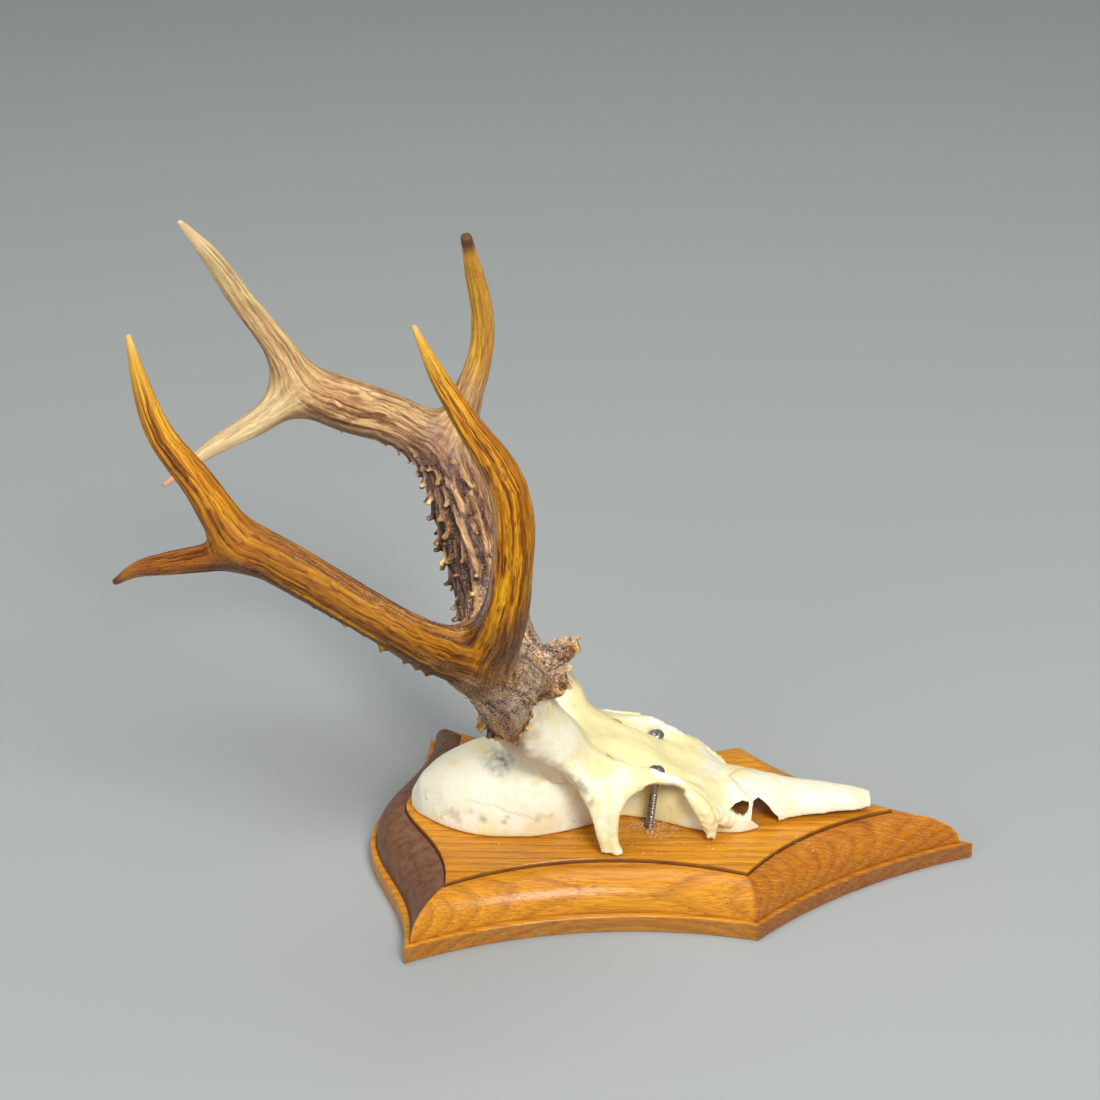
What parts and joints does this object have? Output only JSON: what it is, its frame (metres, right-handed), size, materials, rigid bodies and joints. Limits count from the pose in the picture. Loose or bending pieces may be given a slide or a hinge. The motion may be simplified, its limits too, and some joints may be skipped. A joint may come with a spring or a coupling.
{
  "type": "roe deer antler trophy",
  "caption": "Pair of pearled, branching deer antlers on a sawn upper skull, screwed to a moulded oak shield that lies on its back.",
  "frame": {"origin": "middle of the shield's length and width, on its flat back face", "axes": "+X towards the nose and the shield's point, +Y towards the animal's left antler, +Z out of the shield"},
  "size_m": [0.327, 0.1886, 0.2452],
  "materials": {
    "oak": "gloss varnished amber oak",
    "bone": "boiled bone, satin",
    "antler": "antler, brown with light grooves, pale tips",
    "steel": "grey steel"
  },
  "bodies": {
    "root": {"plaque": "oak", "skull": "bone", "right_beam": "antler", "right_front_tine": "antler", "right_rear_tine": "antler", "left_beam": "antler", "left_front_tine": "antler", "left_rear_tine": "antler", "right_screw": "steel", "left_screw": "steel"}
  },
  "joints": []
}
